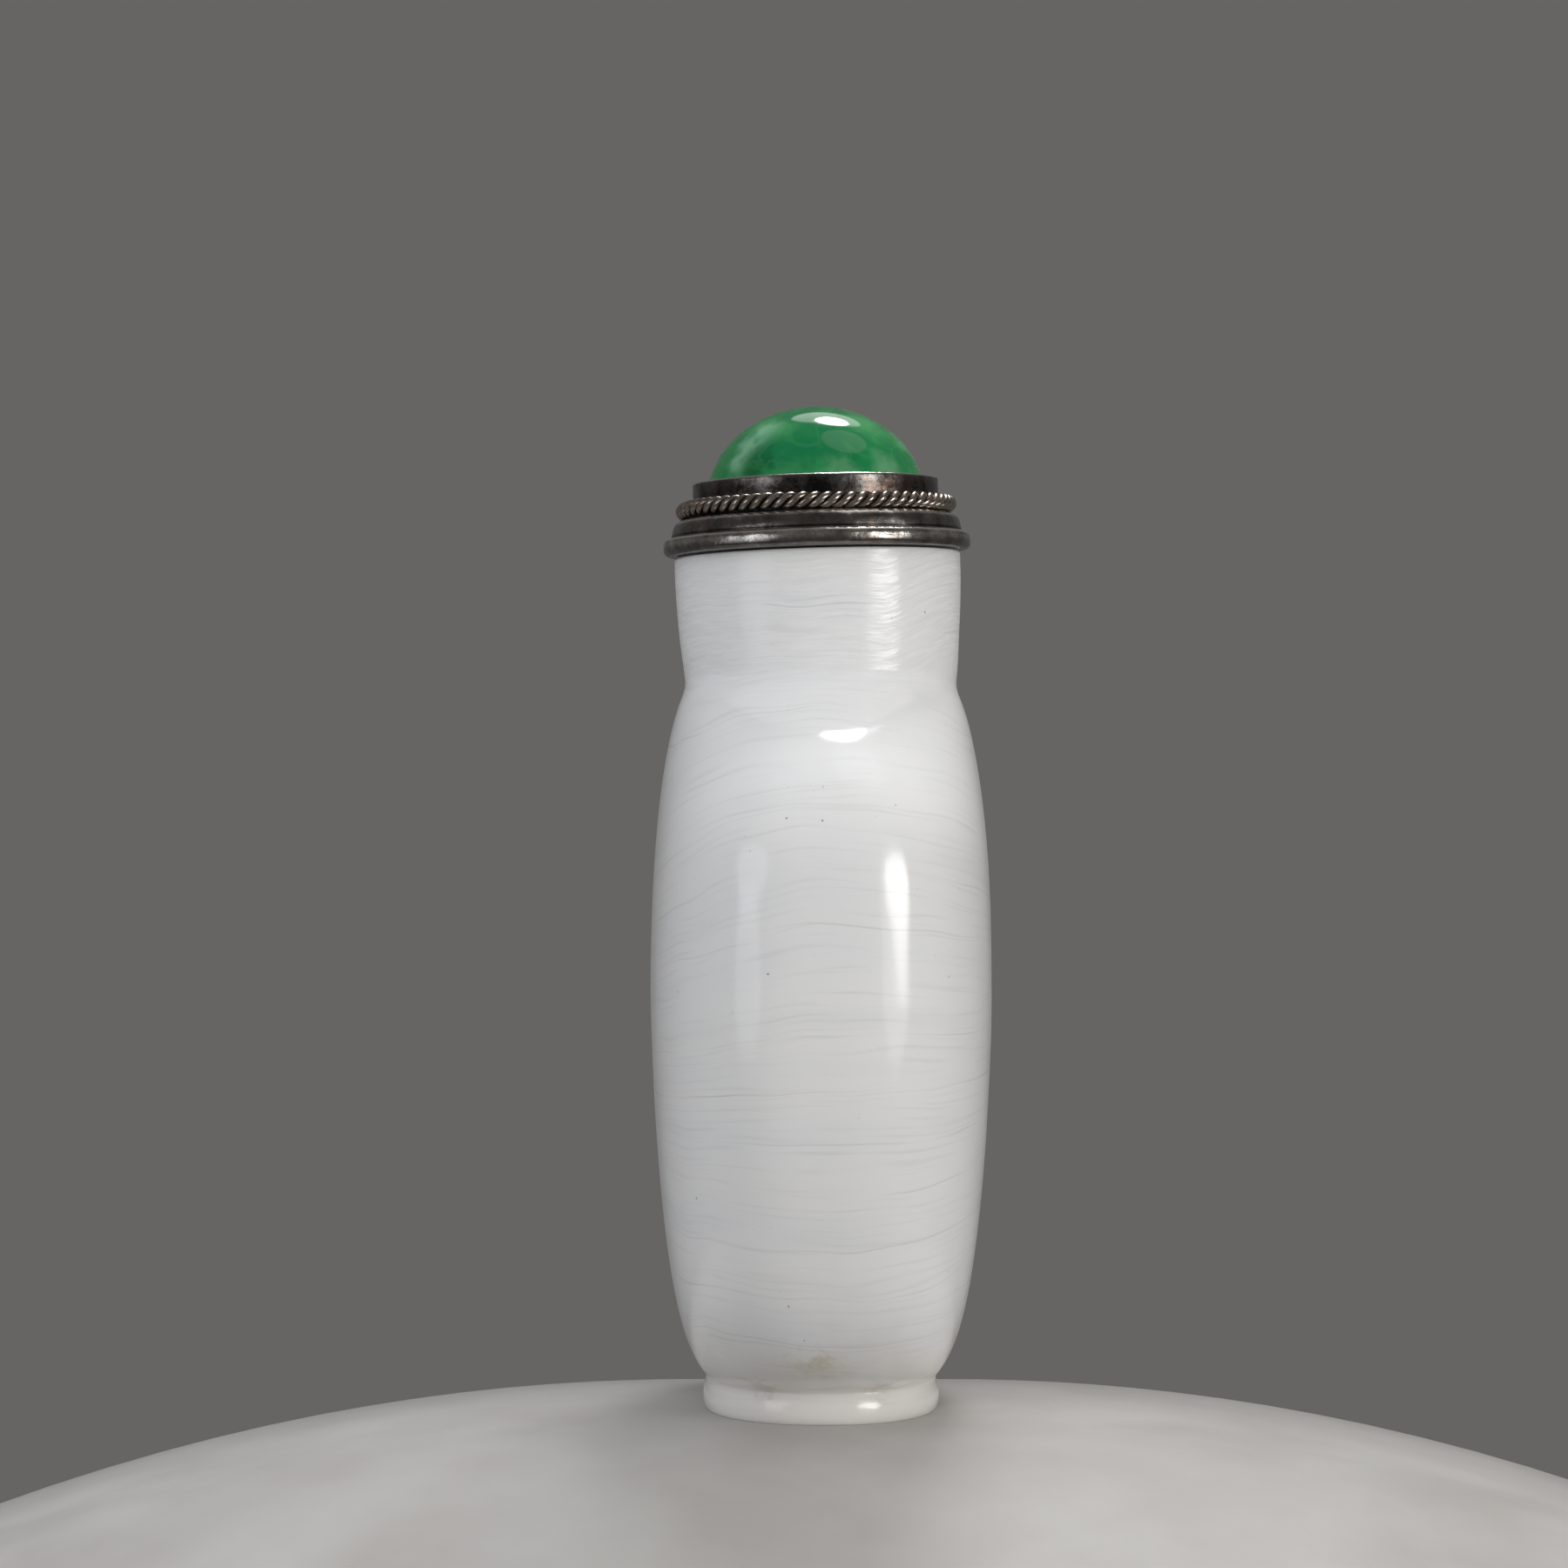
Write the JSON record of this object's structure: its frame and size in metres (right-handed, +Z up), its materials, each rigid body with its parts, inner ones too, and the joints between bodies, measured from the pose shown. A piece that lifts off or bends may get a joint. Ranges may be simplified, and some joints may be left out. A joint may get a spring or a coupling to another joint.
{
  "type": "snuff bottle",
  "caption": "Small flattened flask of opaque white glass with a round neck and oval foot, closed by a silver-mounted stopper with a twisted wire ring and a domed green stone.",
  "frame": {"origin": "middle of the foot's underside, on the surface that the bottle stands on", "axes": "+Z up along the bottle, X through its thickness, Y across its breadth; the neck and the stopper lean a little towards -X"},
  "size_m": [0.022, 0.0432, 0.0649],
  "materials": {
    "milk_glass": "polished",
    "silver": "satin",
    "green_stone": "polished",
    "cork": "matte"
  },
  "bodies": {
    "root": {"bottle": "milk_glass", "stopper_mount": "silver", "twisted_wire": "silver", "cabochon": "green_stone", "cork": "cork"}
  },
  "joints": []
}
